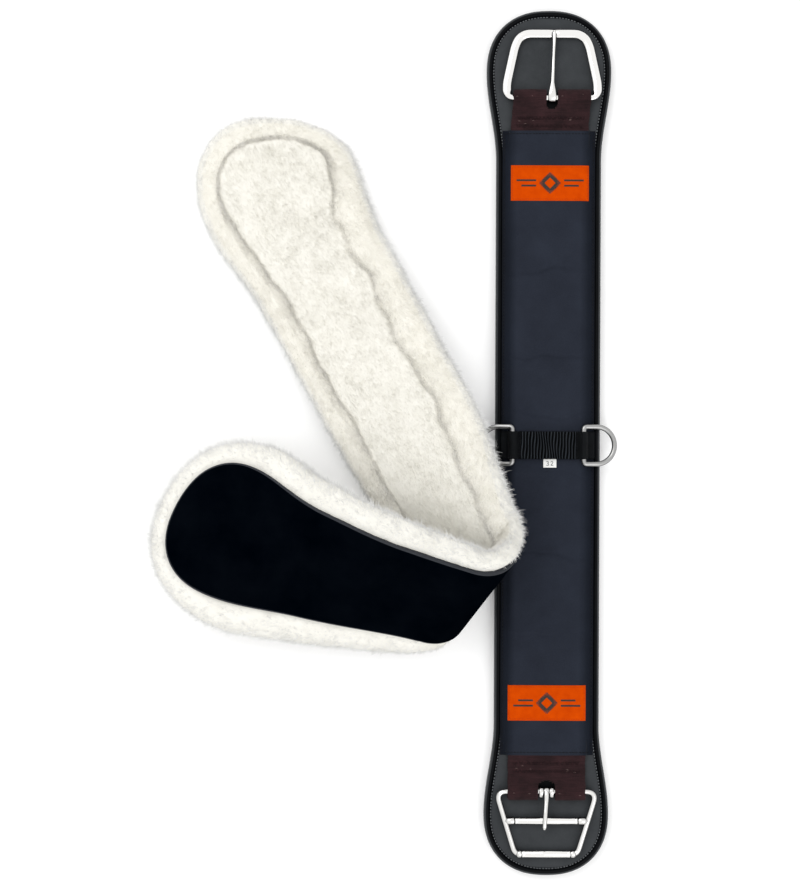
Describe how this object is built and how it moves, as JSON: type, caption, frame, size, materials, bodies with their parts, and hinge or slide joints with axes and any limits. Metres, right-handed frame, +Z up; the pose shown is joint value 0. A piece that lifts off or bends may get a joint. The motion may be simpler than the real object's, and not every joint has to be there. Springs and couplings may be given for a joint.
{
  "type": "saddle girth",
  "caption": "Padded western saddle girth with a buckle at each end, side D-rings and a folded detachable fleece liner.",
  "frame": {"origin": "middle of the girth's underside, on the hook tape's face", "axes": "+Y along the girth towards the single-window buckle, +X across it to the right, +Z up through its outer side"},
  "size_m": [0.4638, 0.85, 0.1219],
  "materials": {
    "hook_tape": "matte hook pile",
    "inner_leatherette": "matte grained leatherette",
    "foam": "closed-cell foam",
    "cover_leatherette": "fine grained leatherette",
    "binding_leatherette": "semi-gloss rolled leatherette",
    "panel_fabric": "tight navy-black cloth",
    "load_webbing": "ribbed brown webbing",
    "label_weave": "orange woven label",
    "size_tag": "white woven tag",
    "ring_strap": "ribbed black webbing",
    "buckle_nickel": "polished nickel",
    "ring_nickel": "worn nickel",
    "liner_loop": "black loop pile",
    "fleece": "off-white deep fleece pile"
  },
  "bodies": {
    "girth": {"hook_tape": "hook_tape", "base_panel": "inner_leatherette", "foam_upper": "foam", "foam_middle": "foam", "foam_lower": "foam", "top_cover": "cover_leatherette", "binding_upper": "binding_leatherette", "binding_right": "binding_leatherette", "binding_left": "binding_leatherette", "binding_lower": "binding_leatherette", "centre_panel": "panel_fabric", "load_webbing": "load_webbing", "label_patch_upper": "label_weave", "label_patch_lower": "label_weave", "size_tag": "size_tag", "ring_strap_base": "ring_strap", "ring_strap": "ring_strap"},
    "top_frame": {"top_buckle_frame": "buckle_nickel"},
    "top_tongue": {"top_buckle_tongue": "buckle_nickel"},
    "bottom_frame": {"bottom_buckle_frame": "buckle_nickel"},
    "bottom_tongue": {"bottom_buckle_tongue": "buckle_nickel"},
    "mid_roller": {"mid_roller": "buckle_nickel"},
    "end_roller": {"end_roller": "buckle_nickel"},
    "left_ring": {"left_d_ring": "ring_nickel"},
    "right_ring": {"right_d_ring": "ring_nickel"},
    "liner": {"liner_backing": "liner_loop", "liner_fleece": "fleece"}
  },
  "joints": [
    {"name": "top_frame_hinge", "type": "hinge", "parent": "girth", "child": "top_frame", "pos_m": [0, 0.3383, 0.0183], "axis": [1, 0, 0], "range_deg": [0, 90]},
    {"name": "top_tongue_hinge", "type": "hinge", "parent": "top_frame", "child": "top_tongue", "pos_m": [0, 0.3383, 0.0183], "axis": [1, 0, 0], "range_deg": [0, 45]},
    {"name": "bottom_frame_hinge", "type": "hinge", "parent": "girth", "child": "bottom_frame", "pos_m": [0, -0.3416, 0.0183], "axis": [-1, 0, 0], "range_deg": [0, 90]},
    {"name": "bottom_tongue_hinge", "type": "hinge", "parent": "bottom_frame", "child": "bottom_tongue", "pos_m": [0, -0.3416, 0.0183], "axis": [-1, 0, 0], "range_deg": [0, 45]},
    {"name": "mid_roller_spin", "type": "hinge", "parent": "bottom_frame", "child": "mid_roller", "pos_m": [0, -0.3705, 0.01774], "axis": [1, 0, 0], "continuous": true},
    {"name": "end_roller_spin", "type": "hinge", "parent": "bottom_frame", "child": "end_roller", "pos_m": [0, -0.403, 0.0171], "axis": [1, 0, 0], "continuous": true},
    {"name": "left_ring_hinge", "type": "hinge", "parent": "girth", "child": "left_ring", "pos_m": [-0.035, -0.0022, 0.021], "axis": [0, 1, 0], "range_deg": [0, 160]},
    {"name": "right_ring_hinge", "type": "hinge", "parent": "girth", "child": "right_ring", "pos_m": [0.035, -0.0022, 0.021], "axis": [0, -1, 0], "range_deg": [0, 160]},
    {"name": "liner_lift", "type": "slide", "parent": "girth", "child": "liner", "axis": [0, 0, 1], "range_m": [0, 0.25]}
  ]
}
